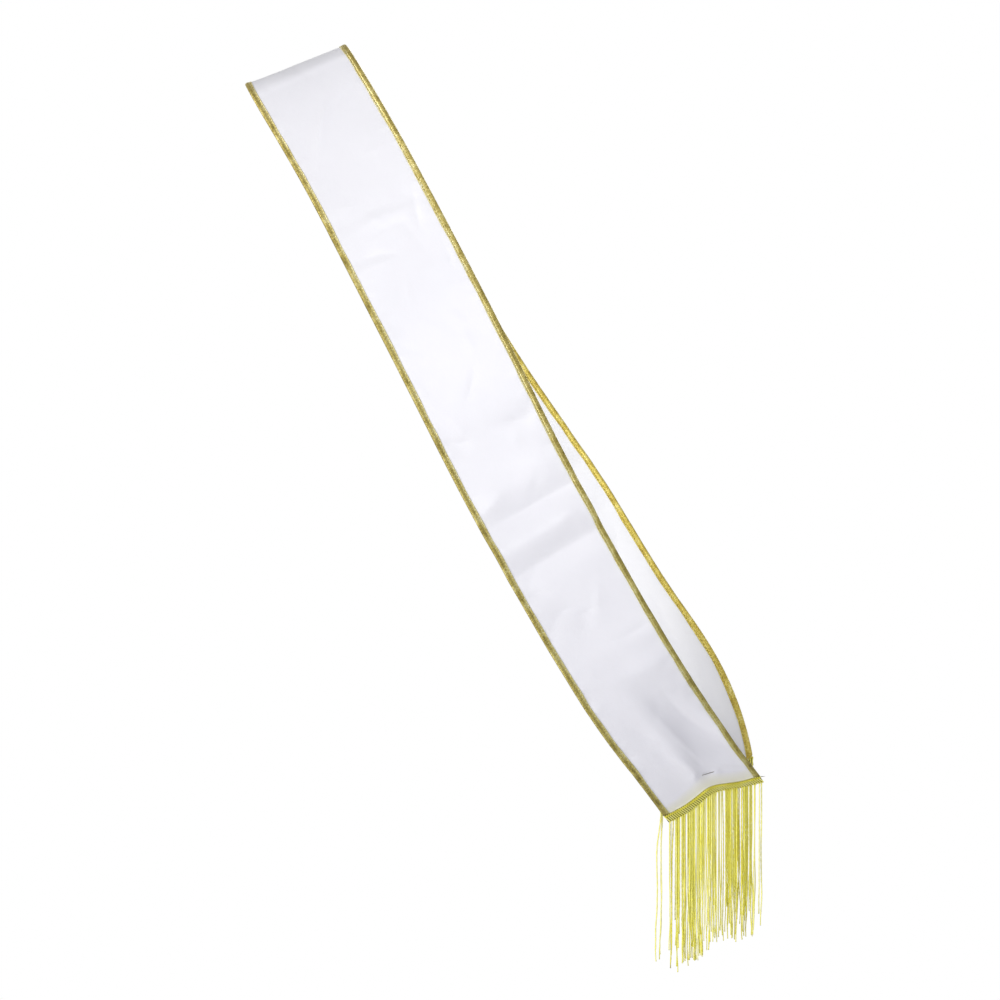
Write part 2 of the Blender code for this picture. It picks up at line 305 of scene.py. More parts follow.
# %% [markdown]
# Rayon yarn: two shiny filament plies twisted round each other. Viscose has an IOR near 1.53. Each yarn
# took the dye a little differently, so a tone is kept for every yarn and picks its yellow, and the colour is
# painted lighter and darker slowly along it, a painted sheen where the twist tightens. Sewing thread uses it
# too, darker. The header's tape uses its darkest tones, as painted shade seen between the loops.

# %% Rayon yarn, sewing thread and steel
# The darkest stop is also the painted shade that the header's tape shows between its loops.
RAYON_TONES = ((0.06, "80700C"), (0.22, "E6DB36"), (0.46, "FAF466"), (0.72, "FCF9B4"))
THREAD_TONES = ((0.2, "94842C"), (0.8, "C2B148"))
BLOTCHES_PER_M = 120.0
BLOTCH_SHARE = 0.3


def yarn_finish(name, tones, roughness):
    """Twisted yarn that takes its colour from the tone kept on each yarn."""
    made, tree, shader = finish(name, Roughness=roughness, IOR=1.53, Sheen_Weight=0.25, Sheen_Roughness=0.4)
    place_at = add(tree, "ShaderNodeTexCoord").outputs["Object"]
    # Blotches along each yarn are a painted sheen in the colour.
    blotches = add(
        tree, "ShaderNodeTexNoise", [("Vector", place_at)], in_Scale=BLOTCHES_PER_M, in_Detail=2.0
    ).outputs["Fac"]
    tone = add(
        tree, "ShaderNodeMix", [("A", kept_value(tree, "tone")), ("B", blotches)], in_Factor=BLOTCH_SHARE
    )
    tree.links.new(ramp(tree, tone.outputs["Result"], *tones), shader.inputs["Base Color"])
    return made


rayon = yarn_finish("yellow rayon yarn", RAYON_TONES, 0.42)
thread = yarn_finish("gold sewing thread", THREAD_TONES, 0.5)
steel, _, _ = finish("nickel plated steel", Base_Color=linear("8F8B84"), Metallic=1.0, Roughness=0.28)
print("yarns:", rayon.name, "and", thread.name)

# %% [markdown]
# The line of the sash is the one that the solids were built on, so it is repeated here: a short table of
# stations with a smooth curve through them. Each station also says which way the cloth faces. Places on
# the cloth are told by three lengths in mm: along (0 on the shoulder, plus down the front, minus down the
# back), across (plus on the neck's side) and out (away from the wearer).

# %% Line of the sash
SASH_WIDTH = 95.0
CLOTH_HALF = 46.2
HEADER_HEIGHT = 8.0
SEAM = 0.3
ROUTE_STEPS = 3200
ROUTE = (
    # station,        x,      y,      z,   turn, rise
    ("front tip",   382.5,   -7.0, -664.5,  27.0, 36.0),
    ("front end",   365.0,  -22.0, -641.0,  27.0, 36.0),
    ("thigh",       328.0,  -47.0, -590.0,  25.0, 35.0),
    ("hip",         302.5,  -65.0, -554.0,  18.0, 32.0),
    ("belly",       259.5,  -84.0, -484.5,  13.0, 30.0),
    ("waist",       221.0,  -96.0, -416.0,   9.0, 29.0),
    ("ribs",        184.5, -106.0, -348.0,   4.0, 28.0),
    ("under bust",  142.0, -116.0, -263.5,   0.0, 27.0),
    ("bust",         98.5, -111.0, -178.5,  -6.0, 27.0),
    ("chest",        62.0,  -88.0, -108.5, -10.0, 27.0),
    ("collarbone",   31.5,  -55.0,  -53.5,  -9.0, 25.0),
    ("shoulder",      0.0,    0.0,    0.0,   0.0, 21.5),
    ("upper back",   21.0,   50.0,  -35.0,   8.0, 25.0),
    ("blade",        63.0,   92.0, -110.0,   8.0, 28.0),
    ("mid back",    112.0,  104.0, -200.0,   0.0, 29.0),
    ("low back",    167.0,   92.0, -291.0, -10.0, 30.0),
    ("back waist",  232.5,   76.0, -386.5, -16.0, 31.0),
    ("seat",        299.5,   52.0, -494.0, -18.0, 31.0),
    ("hip side",    334.5,   28.0, -550.5,  -8.0, 30.0),
    ("hip fold",    352.0,   11.0, -597.5,   9.0, 30.0),
    ("back end",    359.0,   -9.0, -632.0,  27.0, 27.0),
    ("back tip",    364.5,  -17.5, -657.0,  31.0, 27.0),
)
END_LINES = (
    # across, front, back
    (-1.0, -22.0, 10.0),
    (-0.6, -15.5, 6.0),
    (-0.25, -12.5, 2.0),
    (0.05, -10.0, -2.0),
    (0.35, -0.5, -6.0),
    (0.65, 11.0, -12.0),
    (1.0, 22.0, -21.0),
)


def column(rows, index):
    return np.array([row[index] for row in rows], float)


def smooth_curve(knots, values, at):
    """The natural cubic curve through the values at the knots, read at the places given."""
    step = np.diff(knots)
    slope = np.diff(values) / step
    system = np.eye(len(knots))
    bend = np.zeros(len(knots))
    for i in range(1, len(knots) - 1):
        system[i, i - 1:i + 2] = step[i - 1], 2 * (step[i - 1] + step[i]), step[i]
        bend[i] = 6 * (slope[i] - slope[i - 1])
    second = np.linalg.solve(system, bend)
    i = np.clip(np.searchsorted(knots, at) - 1, 0, len(step) - 1)
    left = at - knots[i]
    right = knots[i + 1] - at
    return (
        (second[i] * right**3 + second[i + 1] * left**3) / (6 * step[i])
        + (values[i] / step[i] - second[i] * step[i] / 6) * right
        + (values[i + 1] / step[i] - second[i + 1] * step[i] / 6) * left
    )


route_points = np.stack([column(ROUTE, k) for k in (1, 2, 3)], axis=1)
chord = np.concatenate([[0], np.cumsum(np.linalg.norm(np.diff(route_points, axis=0), axis=1))])
fine = np.linspace(0, chord[-1], ROUTE_STEPS)
route_line = np.stack([smooth_curve(chord, route_points[:, k], fine) for k in range(3)], axis=1)
run = np.concatenate([[0], np.cumsum(np.linalg.norm(np.diff(route_line, axis=0), axis=1))])
stations = np.interp(chord, fine, run)
names = [row[0] for row in ROUTE]
route_along = stations[names.index("shoulder")] - run
FRONT_END = stations[names.index("shoulder")] - stations[names.index("front end")]
BACK_END = stations[names.index("shoulder")] - stations[names.index("back end")]
turn = np.radians(smooth_curve(chord, column(ROUTE, 4), fine))
rise = np.radians(smooth_curve(chord, column(ROUTE, 5), fine))
route_ahead = -np.gradient(route_line, run, axis=0)
route_ahead /= np.linalg.norm(route_ahead, axis=1, keepdims=True)
level = np.stack([np.cos(turn), np.sin(turn), np.zeros_like(turn)], axis=1)
route_side = level * np.cos(rise)[:, None] + np.array([0, 0, 1]) * np.sin(rise)[:, None]
route_side -= route_ahead * (route_side * route_ahead).sum(axis=1, keepdims=True)
route_side /= np.linalg.norm(route_side, axis=1, keepdims=True)
route_outward = np.cross(route_ahead, route_side)
print("cloth from", round(BACK_END), "to", round(FRONT_END), "mm")

# %% [markdown]
# Satin this thin doesn't fold deeply. It bends where the body bends, it is pulled towards the pins, and it
# keeps small sharp creases from its packet. So there are three sorts here. FOLDS are the large ones of the
# solids. CREASES are the ones that catch the light, each listed one by one, with the same sorts on the back.
# Small crumples and the puckers along the stitching follow from a seeded draw, because they have no plan.

# %% Folds and creases
FOLDS = (
    # fold,              along, across, slant, length, breadth, height
    ("shoulder roll",     28.0,   -2.0,   7.0,   70.0,    9.0,   1.4),
    ("waist valley",     475.0,    2.0,   0.0,   78.0,   12.0,  -2.4),
    ("waist ridge",      499.0,    1.0,   0.0,   80.0,   13.0,   2.6),
    ("waist trough",     522.0,    1.0,  -1.0,   80.0,   13.0,  -2.0),
    ("hip ridge",        618.0,   22.0,   4.0,   44.0,   14.0,   1.6),
    ("hip bend",         634.0,  -22.0,  42.0,   32.0,   13.0,   2.0),
    ("pull ridge",       728.0,   -4.0,  86.0,   52.0,   11.0,   2.4),
    ("pull valley",      724.0,   21.0,  74.0,   54.0,   12.0,  -2.8),
    ("blade ridge",     -150.0,   -6.0,  20.0,   70.0,   17.0,   2.4),
    ("back waist",      -445.0,    4.0, -14.0,   76.0,   16.0,  -2.8),
    ("seat ridge",      -520.0,   -8.0,  12.0,   66.0,   15.0,   2.4),
)
CREASES = (
    # crease,             along, across, slant, length, breadth, height, soft,  bow
    ("roll's foot",        33.0,   -2.0,   7.0,   56.0,    5.0,  -0.5,  0.5,   0.0),
    ("collar wrinkle",     88.0,   -8.0, -53.0,   27.0,    6.0,   1.3,  0.5,   2.0),
    ("chest hollow",      152.0,   -5.0,  15.0,   60.0,   24.0,  -1.2,  1.0,   0.0),
    ("chest line",        187.0,   -4.0,   9.0,   28.0,    5.0,  -0.4,  0.25,  4.0),
    ("chest ridge",       197.0,    2.0,   6.0,   30.0,    6.0,   0.7,  0.4,   3.0),
    ("chest stripe",      206.5,   -2.0,   4.0,   17.0,    3.5,  -0.6,  0.3,   2.0),
    ("lower stripe",      224.0,  -24.0,  10.0,   19.0,    4.0,  -0.7,  0.3,   3.0),
    ("lower stripe lip",  232.0,  -20.0,   8.0,   18.0,    4.5,   0.5,  0.5,   2.0),
    ("neck streak",       208.0,   28.0, -75.0,   16.0,    3.0,  -0.5,  0.3,   1.0),
    ("neck streak low",   254.0,   35.5, -80.0,   10.0,    2.6,  -0.45, 0.3,   0.0),
    ("bust streak",       304.0,   24.5,  75.0,   12.0,    3.0,  -0.4,  0.3,   1.0),
    ("bust streak side",  326.0,   17.0,  84.0,   10.0,    3.0,   0.35, 0.4,   0.0),
    ("long scratch",      359.0,    4.0, -52.0,   14.0,    2.4,  -0.45, 0.15, -1.0),
    ("rib nick",          399.5,  -31.0,  20.0,   10.0,    4.0,  -0.6,  0.4,   0.0),
    ("rib edge",          404.0,   22.0,   4.0,   26.0,    6.0,  -0.5,  0.5,  -3.0),
    ("rib hollow",        434.0,    0.0,   5.0,   70.0,   22.0,  -1.0,  1.0,   0.0),
    ("rib dimple",        447.0,   25.0,  28.0,   18.0,    7.0,   0.6,  0.6,   0.0),
    ("rib dimple side",   457.0,  -26.0, -22.0,   14.0,    6.0,   0.7,  0.5,   0.0),
    ("waist line",        475.5,    8.0,  -0.5,   42.0,    4.0,  -0.9,  0.12,  0.0),
    ("under waist line",  521.0,    2.0,  -1.0,   58.0,    5.0,  -0.6,  0.2,   0.0),
    ("small crease",      544.0,  -30.5,  17.0,   11.0,    2.6,  -0.5,  0.2,   1.0),
    ("belly arc",         567.0,  -17.5,   2.0,   18.0,    6.0,  -0.55, 0.4,   9.0),
    ("hip line",          616.0,   27.0,   2.5,   18.0,    4.0,  -0.8,  0.3,  -2.0),
    ("hip shade",         628.0,  -25.5,  48.0,   17.0,    8.0,  -0.5,  0.6,   0.0),
    ("hip light",         648.0,   18.0,  12.0,   24.0,   11.0,   1.4,  0.8,   0.0),
    ("pull valley line",  712.0,   24.0,  76.0,   32.0,    4.5,  -0.9,  0.15, -3.0),
    ("pull valley low",   770.0,   42.0,  68.0,   28.0,    7.0,  -0.9,  0.3,   0.0),
    ("pull ridge line",   728.0,    6.0,  82.0,   38.0,    4.0,   0.8,  0.15,  0.0),
    ("pull side",         736.0,   42.0,  74.0,   22.0,    4.0,   0.4,  0.3,   0.0),
    ("low streak",        702.0,  -16.0,  60.0,   17.0,    4.0,  -0.4,  0.4,   0.0),
    ("low streak side",   726.0,  -24.0,  66.0,   18.0,    5.0,   0.4,  0.5,   0.0),
    ("pin gather",        748.0,   -3.0,  76.0,   17.0,    3.4,   0.7,  0.3,   1.0),
    ("pin gather side",   750.0,    8.0,  80.0,   15.0,    3.2,  -0.7,  0.3,   0.0),
    ("pin hump left",     759.4,   -4.0, -58.0,    3.4,    2.2,   0.7,  0.6,   0.0),
    ("pin hump right",    772.5,   17.4, -58.0,    3.4,    2.2,   0.7,  0.6,   0.0),
    ("pin hollow",        767.0,    8.5,  32.0,   11.0,    3.6,  -0.8,  0.6,   0.0),
    ("corner pull",       785.0,   29.0,  50.0,   16.0,    3.0,  -0.6,  0.2,   0.0),
    ("corner pull lip",   779.0,   31.0,  54.0,   16.0,    3.0,   0.6,  0.3,   0.0),
    ("arm pucker",        687.5,  -41.0,  14.0,    7.0,    2.0,  -0.35, 0.3,   0.0),
    ("arm pucker low",    703.5,  -39.5,   9.0,    7.0,    2.0,  -0.35, 0.3,   0.0),
    ("back roll's foot",  -36.0,    3.0,  -6.0,   60.0,    6.0,  -0.6,  0.5,   0.0),
    ("blade line",       -118.0,   12.0,  24.0,   34.0,    5.0,  -0.8,  0.3,   3.0),
    ("blade stripe",     -171.0,  -20.0,  12.0,   22.0,    4.5,   0.7,  0.3,   2.0),
    ("spine scratch",    -238.0,    8.0, -40.0,   24.0,    2.6,  -0.5,  0.15,  1.0),
    ("spine hollow",     -290.0,    0.0,  -8.0,   60.0,   24.0,  -0.9,  1.0,   0.0),
    ("low back streak",  -345.0,   26.0,  78.0,   16.0,    3.2,  -0.5,  0.3,   0.0),
    ("back waist line",  -436.0,    0.0, -10.0,   46.0,    4.5,  -0.9,  0.2,   0.0),
    ("back waist ridge", -462.0,    2.0, -12.0,   60.0,    9.0,   1.5,  0.6,   0.0),
    ("seat arc",         -505.0,   18.0,   6.0,   22.0,    6.0,  -0.8,  0.4,   7.0),
    ("seat streak",      -560.0,   20.0,  62.0,   34.0,    6.0,   0.9,  0.4,   2.0),
    ("seat streak side", -575.0,    2.0,  70.0,   36.0,    7.0,  -0.9,  0.5,   0.0),
    ("hip side streak",  -632.0,   26.0,  80.0,   30.0,    5.0,   0.8,  0.4,   0.0),
    ("hip side shade",   -650.0,   10.0,  84.0,   34.0,    6.0,  -0.8,  0.5,   0.0),
    ("turn streak",      -700.0,   24.0,  74.0,   26.0,    5.0,  -0.7,  0.3,   2.0),
    ("turn light",       -716.0,   32.0,  66.0,   20.0,    4.0,   0.7,  0.3,   0.0),
    ("back end pull",    -748.0,   20.0,  70.0,   16.0,    4.0,  -0.5,  0.3,   0.0),
)
CREASES_STAND = 1.5
CRUMPLES = 110
CRUMPLES_FROM_END = 20
CRUMPLES_WITHIN = 38
CRUMPLE_LENGTH = (7, 18)
CRUMPLE_BREADTH = (2.6, 5.0)
CRUMPLE_HEIGHT = (0.10, 0.30)
CRUMPLE_SLANT = 80
CRUMPLE_SOFT = 0.3
STITCH_LINE = 43.0
FIRST_PUCKER = 8
LAST_PUCKER = 12
PUCKER_EVERY_MM = 16.0
PUCKER_GAP = (0.45, 1.7)
PUCKER_LENGTH = (5, 11)
PUCKER_BREADTH = (2.0, 4.0)
PUCKER_HEIGHT = (0.12, 0.34)
PUCKER_SLANT = 28
PUCKER_SOFT = 0.4
FLAT_PAST_LENGTHS = 2.5
FLAT_PAST_BREADTHS = 4


def small_folds(seed):
    """Small crumples anywhere, and puckers that start at the stitching along both long edges."""
    draw = np.random.default_rng(seed)
    rows = []
    for _ in range(CRUMPLES):
        along = draw.uniform(BACK_END + CRUMPLES_FROM_END, FRONT_END - CRUMPLES_FROM_END)
        across = draw.uniform(-CRUMPLES_WITHIN, CRUMPLES_WITHIN)
        slant = draw.uniform(-CRUMPLE_SLANT, CRUMPLE_SLANT)
        length = draw.uniform(*CRUMPLE_LENGTH)
        height = draw.uniform(*CRUMPLE_HEIGHT) * draw.choice([-1, 1])
        breadth = draw.uniform(*CRUMPLE_BREADTH)
        rows.append(("crumple", along, across, slant, length, breadth, height, CRUMPLE_SOFT, 0))
    for side in (-1, 1):
        along = BACK_END + FIRST_PUCKER
        while along < FRONT_END - LAST_PUCKER:
            along += PUCKER_EVERY_MM * draw.uniform(*PUCKER_GAP)
            height = draw.uniform(*PUCKER_HEIGHT) * draw.choice([-1, 1])
            length = draw.uniform(*PUCKER_LENGTH)
            slant = draw.uniform(-PUCKER_SLANT, PUCKER_SLANT)
            breadth = draw.uniform(*PUCKER_BREADTH)
            across = side * STITCH_LINE
            rows.append(("pucker", along, across, slant, length, breadth, height, PUCKER_SOFT, 0))
    return rows


def lift(along, across, table, sharp):
    """How far the folds of a table lift the cloth; sharp ones also have soft and bow columns."""
    height = np.zeros(along.shape)
    for row in table:
        _, middle, aside, slant, length, breadth, top = row[:7]
        turned = np.radians(slant)
        near = np.abs(along - middle) < FLAT_PAST_BREADTHS * breadth + FLAT_PAST_LENGTHS * length
        ahead = along[near] - middle
        beside = across[near] - aside
        down_fold = beside * np.cos(turned) + ahead * np.sin(turned)
        over_fold = ahead * np.cos(turned) - beside * np.sin(turned)
        if sharp:
            soft, bow = row[7:]
            top *= CREASES_STAND
            over_fold = over_fold - bow * (down_fold / length) ** 2
            slope = np.sqrt((over_fold / breadth) ** 2 + soft**2) - soft
        else:
            slope = (over_fold / breadth) ** 2
        height[near] += top * np.exp(-((down_fold / length) ** 2) - slope)
    return height


SMALL_FOLDS = small_folds(7)


def read_route(table, along):
    """The line's points, or one of its directions, read at places along it."""
    order = slice(None, None, -1)
    return np.stack([np.interp(along, route_along[order], table[order, k]) for k in range(3)], axis=-1)


def place(along, across, out):
    """The points in space, in mm, of places on the sash."""
    along, across, out = (np.array(a, float) for a in np.broadcast_arrays(along, across, out))
    lifted = out + lift(along, across, FOLDS, False)
    lifted += lift(along, across, CREASES, True) + lift(along, across, SMALL_FOLDS, True)
    line, side, outward = (read_route(table, along) for table in (route_line, route_side, route_outward))
    return line + side * across[..., None] + outward * lifted[..., None]


def front_cut(across):
    """Where the front end is cut, for places across the cloth."""
    return FRONT_END + smooth_curve(column(END_LINES, 0), column(END_LINES, 1), across / CLOTH_HALF)


def back_cut(across):
    """Where the back end is cut, for places across the cloth."""
    return BACK_END - smooth_curve(column(END_LINES, 0), column(END_LINES, 2), across / CLOTH_HALF)


def cloth_rows(spacing, across):
    """Places along the whole strip for each place across, a row every `spacing` mm."""
    rows = np.linspace(BACK_END, FRONT_END, int((FRONT_END - BACK_END) / spacing))[:, None]
    ahead = rows * front_cut(across) / FRONT_END
    behind = rows * back_cut(across) / BACK_END
    return np.where(rows > 0, ahead, behind)


print(len(FOLDS), "folds,", len(CREASES), "creases and", len(SMALL_FOLDS), "small ones")

# %% [markdown]
# The cloth is a shell between two skins, 0.6 mm apart, so that it has a real edge. A grid of points with a
# row every 1.9 mm is fine enough to carry a sharp crease and still quick to make. Three values go with each
# point: its place on the flat cloth, which the weave's pattern is drawn on, whether it is on the inner side,
# and how near the fringe's tape is.

# %% Cloth
CLOTH_INSIDE = 0.35
CLOTH_OUTSIDE = 0.95
ROW_MM = 1.9
COLUMNS = 45
TAPE_SHOWS = 0.55
TAPE_FADES = 0.7
TAPE_REACH = (
    # across, mm from the end
    (-46.0, 7.0),
    (5.0, 14.0),
    (46.0, 11.0),
)


def make_piece(name, points, faces, material, smooth=True):
    """A mesh piece from points in mm; it rides on the sash's one body."""
    mesh = bpy.data.meshes.new(name)
    mesh.from_pydata((np.asarray(points).reshape(-1, 3) * MM).tolist(), [], faces)
    mesh.materials.append(material)
    if smooth:
        mesh.shade_smooth()
    piece = bpy.data.objects.new(name, mesh)
    bpy.context.scene.collection.objects.link(piece)
    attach(piece, "root")
    print(name, len(mesh.vertices), "points", sum(len(f) - 2 for f in faces), "triangles")
    return piece


def keep(piece, name, values):
    """Keeps a number, or a vector, on each point of a piece."""
    values = np.asarray(values, np.float32)
    vector = values.ndim == 2
    attribute = piece.data.attributes.new(name, "FLOAT_VECTOR" if vector else "FLOAT", "POINT")
    attribute.data.foreach_set("vector" if vector else "value", values.ravel())


def ring_faces(rows, around, first=0, capped=True):
    """Faces of a tube of rings; a ring's points follow each other, and so do the rings."""
    r, k = np.meshgrid(np.arange(rows - 1), np.arange(around), indexing="ij")
    here = first + r * around + k
    beside = first + r * around + (k + 1) % around
    faces = np.stack([here, beside, beside + around, here + around], axis=-1).reshape(-1, 4).tolist()
    if capped:
        last = first + (rows - 1) * around
        faces.append(list(range(first, first + around))[::-1])
        faces.append(list(range(last, last + around)))
    return faces


across = np.linspace(-CLOTH_HALF, CLOTH_HALF, COLUMNS)
along = cloth_rows(ROW_MM, across)
rows = len(along)
outer = place(along, across, CLOTH_OUTSIDE)
inner = place(along, across, CLOTH_INSIDE)
rings = np.concatenate([outer, inner[:, ::-1]], axis=1)
faces = ring_faces(rows, 2 * COLUMNS, capped=False)
for k in range(COLUMNS - 1):
    far = 2 * COLUMNS - 1 - k
    last = (rows - 1) * 2 * COLUMNS
    faces.append([k, far, far - 1, k + 1][::-1])
    faces.append([last + k, last + k + 1, last + far - 1, last + far][::-1])
cloth = make_piece("satin_strip", rings, faces, satin)
across_ring = np.concatenate([across, across[::-1]])
along_ring = np.concatenate([along, along[:, ::-1]], axis=1)
flat_place = np.stack(
    [np.broadcast_to(across_ring, along_ring.shape), along_ring, np.zeros_like(along_ring)], axis=-1
)
keep(cloth, "cloth_mm", flat_place.reshape(-1, 3))
keep(cloth, "inside", np.broadcast_to(np.repeat([0.0, 1.0], COLUMNS), along_ring.shape).ravel())
from_end = np.minimum(front_cut(across_ring) - along_ring, along_ring - back_cut(across_ring))
nearness = np.clip(1 - from_end / np.interp(across_ring, *np.transpose(TAPE_REACH)), 0, 1)
keep(cloth, "tape_behind", (TAPE_SHOWS * nearness**TAPE_FADES).ravel())
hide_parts("front_stretch", "back_stretch")

# %% [markdown]
# The binding is one length of ribbon for each long edge, folded over it and caught with one row of
# stitches that goes through both layers. Its section is drawn once, as a closed ring of points round the
# cloth's edge: a bead at the selvage, a groove where the stitches pull, a low crown and the fold. Every
# row of the strip then repeats that section, a little narrower or wider, as the ribbon was laid by hand.

# %% Bindings
RIBBON_ROW_MM = 1.7
RIBBON_SHOWS = 6.0
MID_OUT = (CLOTH_INSIDE + CLOTH_OUTSIDE) / 2
RIBBON_FACE = (
    # across, out
    (41.50, 1.02),
    (41.42, 1.34),
    (41.80, 1.54),
    (42.35, 1.46),
    (42.95, 1.16),
    (43.55, 1.44),
    (44.40, 1.72),
    (45.50, 1.78),
    (46.50, 1.60),
    (47.20, 1.22),
    (47.50, 0.65),
)
RIBBON_LINING = (
    # across, out
    (46.50, 0.28),
    (46.75, 0.65),
    (46.50, 1.02),
)
INNER_FACE_FROM = 0.1
INNER_EDGE_GIVES = 0.4
EDGE_WANDER_MM = 34
ROW_CRINKLE = 0.07
CROWN_FROM = 43.6
POINT_CRINKLE = 0.05
BEAD_FROM = 41.6


def soft_noise(places, wavelength, seed):
    """A smooth wandering number from -1 to 1, of about that wavelength."""
    draw = np.random.default_rng(seed)
    steps = int((places.max() - places.min()) / wavelength * 2) + 4
    knots = np.linspace(places.min() - 1, places.max() + 1, steps)
    return np.interp(places, knots, draw.uniform(-1, 1, steps))


def ribbon_section():
    """The ring of points of the folded ribbon's section, from its inner edge over the fold and back."""
    upper = np.array(RIBBON_FACE)
    lower = upper[-2::-1] * [1, -1] + [0, 2 * MID_OUT]
    return np.concatenate([upper, lower, RIBBON_LINING])


def binding(node, sign, seed):
    """One folded ribbon; sign is +1 on the neck's side and -1 on the arm's."""
    section = ribbon_section()
    from_fold = SASH_WIDTH / 2 - section[:, 0]
    inside = MID_OUT - section[:, 1] > INNER_FACE_FROM
    along = cloth_rows(RIBBON_ROW_MM, sign * section[:, 0])
    line = along[:, 0]
    edge = np.clip(from_fold / RIBBON_SHOWS, 0, 1) ** 3
    wander = INNER_EDGE_GIVES * (1 + soft_noise(line, EDGE_WANDER_MM, seed)[:, None]) * edge
    draw = np.random.default_rng(seed + 1)
    crinkle = ROW_CRINKLE * draw.uniform(-1, 1, (len(line), 1)) * (section[:, 0] > CROWN_FROM)
    crinkle = crinkle + POINT_CRINKLE * draw.uniform(-1, 1, along.shape) * (section[:, 0] > BEAD_FROM)
    out = section[:, 1] + crinkle * np.sign(section[:, 1] - MID_OUT)
    points = place(along, sign * (section[:, 0] + wander), out)
    order = slice(None, None, sign)
    piece = make_piece(f"ribbon_{node}", points[:, order], ring_faces(len(line), len(section)), lame)
    girth = np.concatenate([[0], np.cumsum(np.linalg.norm(np.diff(section, axis=0), axis=1))])
    flat = np.stack([np.broadcast_to(sign * girth, along.shape), along, np.zeros_like(along)], axis=-1)
    keep(piece, "cloth_mm", flat[:, order].reshape(-1, 3))
    keep(piece, "from_fold_mm", np.broadcast_to(from_fold, along.shape)[:, order].ravel())
    keep(piece, "inside", np.broadcast_to(inside, along.shape)[:, order].ravel())
    keep(piece, "from_shoulder", np.abs(along[:, order]).ravel() / FRONT_END)
    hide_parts(node)
    return piece


ribbons = [binding("binding_neck_side", 1, 11), binding("binding_arm_side", -1, 23)]

# %% [markdown]
# All the yarns, threads and stitches are tubes. One function sweeps an oval along many lines at once: the
# two half widths may change along the line, and the oval may turn, which is what a two ply twist looks
# like. A reference direction keeps each oval from spinning on its own.

# %% Tubes


def sweep(lines, wide, thin, reference, turned, sides):
    """Rings of points round many lines, shaped (lines, rows, sides, 3)."""
    ahead = np.gradient(lines, axis=1)
    ahead /= np.linalg.norm(ahead, axis=-1, keepdims=True)
    first = reference - ahead * (reference * ahead).sum(axis=-1, keepdims=True)
    first /= np.linalg.norm(first, axis=-1, keepdims=True)
    second = np.cross(ahead, first)
    angle = np.linspace(0, 2 * np.pi, sides, endpoint=False)
    a = (np.cos(angle) * np.asarray(wide)[..., None])[..., None]
    b = (np.sin(angle) * np.asarray(thin)[..., None])[..., None]
    c = np.cos(turned)[..., None, None]
    s = np.sin(turned)[..., None, None]
    one = first[..., None, :] * c + second[..., None, :] * s
    two = second[..., None, :] * c - first[..., None, :] * s
    return lines[..., None, :] + one * a + two * b


def tubes(rings):
    """The points and faces of swept tubes, joined in one list."""
    count, rows, sides = rings.shape[:3]
    faces = []
    for i in range(count):
        faces += ring_faces(rows, sides, first=i * rows * sides)
    return rings.reshape(-1, 3), faces


# %% [markdown]
# The stitches are 2.7 mm long with a short gap, as a domestic machine sews them. Each is a fat little
# tube that dives into the ribbon at both ends, on the outer face and on the inner one.

# %% Stitches
STITCH_PITCH = 3.3
STITCH_LENGTH = 2.7
STITCH_SHAPE = (
    # share of its length, out, thickness
    (-0.50, -0.42, 0.50),
    (-0.36, -0.05, 0.95),
    (0.00, 0.08, 1.00),
    (0.36, -0.05, 0.95),
    (0.50, -0.42, 0.50),
)
FIRST_STITCH = 2.5
LAST_STITCH = 2.0
THREAD_HALF = 0.24
THREAD_OUT = 0.70
THREAD_WANDERS = 0.08


def stitch_row(name, sign, seed):
    """The stitches along one binding, on both of its faces."""
    start, stop = (cut(np.array([sign * STITCH_LINE]))[0] for cut in (back_cut, front_cut))
    middles = np.arange(start + FIRST_STITCH, stop - LAST_STITCH, STITCH_PITCH)
    step, dive, thickness = np.transpose(STITCH_SHAPE)
    draw = np.random.default_rng(seed)
    along = middles[:, None] + step * STITCH_LENGTH
    across = sign * (STITCH_LINE + draw.uniform(-THREAD_WANDERS, THREAD_WANDERS, (len(middles), 1)))
    lines = np.concatenate([place(along, across, MID_OUT + face * (THREAD_OUT + dive)) for face in (1, -1)])
    reference = np.concatenate([read_route(route_side, along)] * 2)
    half = THREAD_HALF * thickness * np.ones((len(lines), 1))
    rings = sweep(lines, half, half, reference, 0 * half, sides=6)
    piece = make_piece(name, *tubes(rings), thread)
    keep(piece, "tone", np.repeat(draw.uniform(0, 1, len(rings)), rings.shape[1] * rings.shape[2]))
    return piece


stitches = [stitch_row("stitches_neck_side", 1, 31), stitch_row("stitches_arm_side", -1, 37)]

# %% [markdown]
# The header of a fringe is a gimp: one yarn wound round a flat tape in a long coil, so that slanting loops
# lie side by side on both faces. Seen from its end the coil is a flattened circle, which gives each leg its
# straight run and its tight turn at the header's edges. A thin cord is stitched along its upper edge.

# %% Fringe headers
LOOPS = 45
LOOP_STEPS = 22
LOOP_HALF = 0.54
LOOP_THICK = 0.6
LOOP_INSET = 0.6
LOOP_SLANT = 1.7
LOOPS_UNEVEN = 0.5
UNEVEN_EVERY_PERCENT = 4
COIL_STANDS = 1.25
COIL_FLATNESS = 0.7
# The coil is painted darker at its turns round the tape's edges and lighter on its legs: painted shade where
# it turns away from the light.
TURN_SHADE_TONE = 0.20
LEG_TONE = 0.36
TAPE_STEPS = 60
CORD_STEPS = 420
CORD_TWIST_MM = 3.8
CORD_DOWN = 1.1
CORD_SWINGS = 0.42
CORD_OUT = 1.4
CORD_RISES = 0.2
CORD_HALF = 0.32
CORD_TONE = 0.1
TAPE_SECTION = (
    # reach, out
    (0.5, 0.35),
    (0.5, -0.35),
    (7.2, -0.35),
    (7.2, 0.35),
)
# The tape is painted dark as painted shade, seen in the gaps between the loops.
TAPE_SHADE_TONE = -0.2
TONE_VARIES = 0.06


